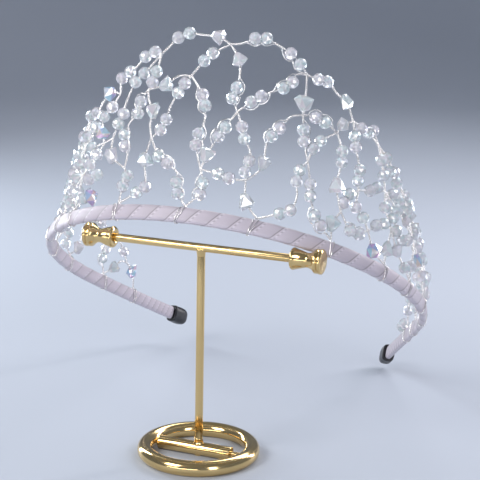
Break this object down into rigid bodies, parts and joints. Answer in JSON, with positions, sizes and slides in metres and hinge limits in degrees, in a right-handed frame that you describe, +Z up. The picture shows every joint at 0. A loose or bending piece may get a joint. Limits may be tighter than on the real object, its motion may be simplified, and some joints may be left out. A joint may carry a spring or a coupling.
{
  "type": "bridal headband on a display stand",
  "caption": "Bridal headband: a ribbon-wrapped open hoop with a standing web of twisted wire and crystal beads, resting on a brass T-bar display stand with a ring base.",
  "frame": {"origin": "centre of the base ring on the table, at the post's lower end", "axes": "+Z up along the post, +X to the right along the T-bar, -Y towards the front of the headband"},
  "size_m": [0.1351, 0.1333, 0.1358],
  "materials": {
    "polished_brass": "polished gold-coloured brass",
    "satin_ribbon": "pale lilac-grey satin ribbon, wound edge over edge",
    "black_tip": "black, slightly soft",
    "crystal_and_wire": "clear faceted crystal with a rainbow coat, on bright silver-coloured twisted wire"
  },
  "bodies": {
    "root": {"stand_frame": "polished_brass", "finial_left": "polished_brass", "finial_right": "polished_brass", "ribbon_band": "satin_ribbon", "tip_cap_left": "black_tip", "tip_cap_right": "black_tip", "web_left_arm": "crystal_and_wire", "web_left_side": "crystal_and_wire", "web_left_front": "crystal_and_wire", "web_front_left": "crystal_and_wire", "web_front_middle": "crystal_and_wire", "web_front_right": "crystal_and_wire", "web_right_side": "crystal_and_wire", "web_right_arm": "crystal_and_wire"}
  },
  "joints": []
}
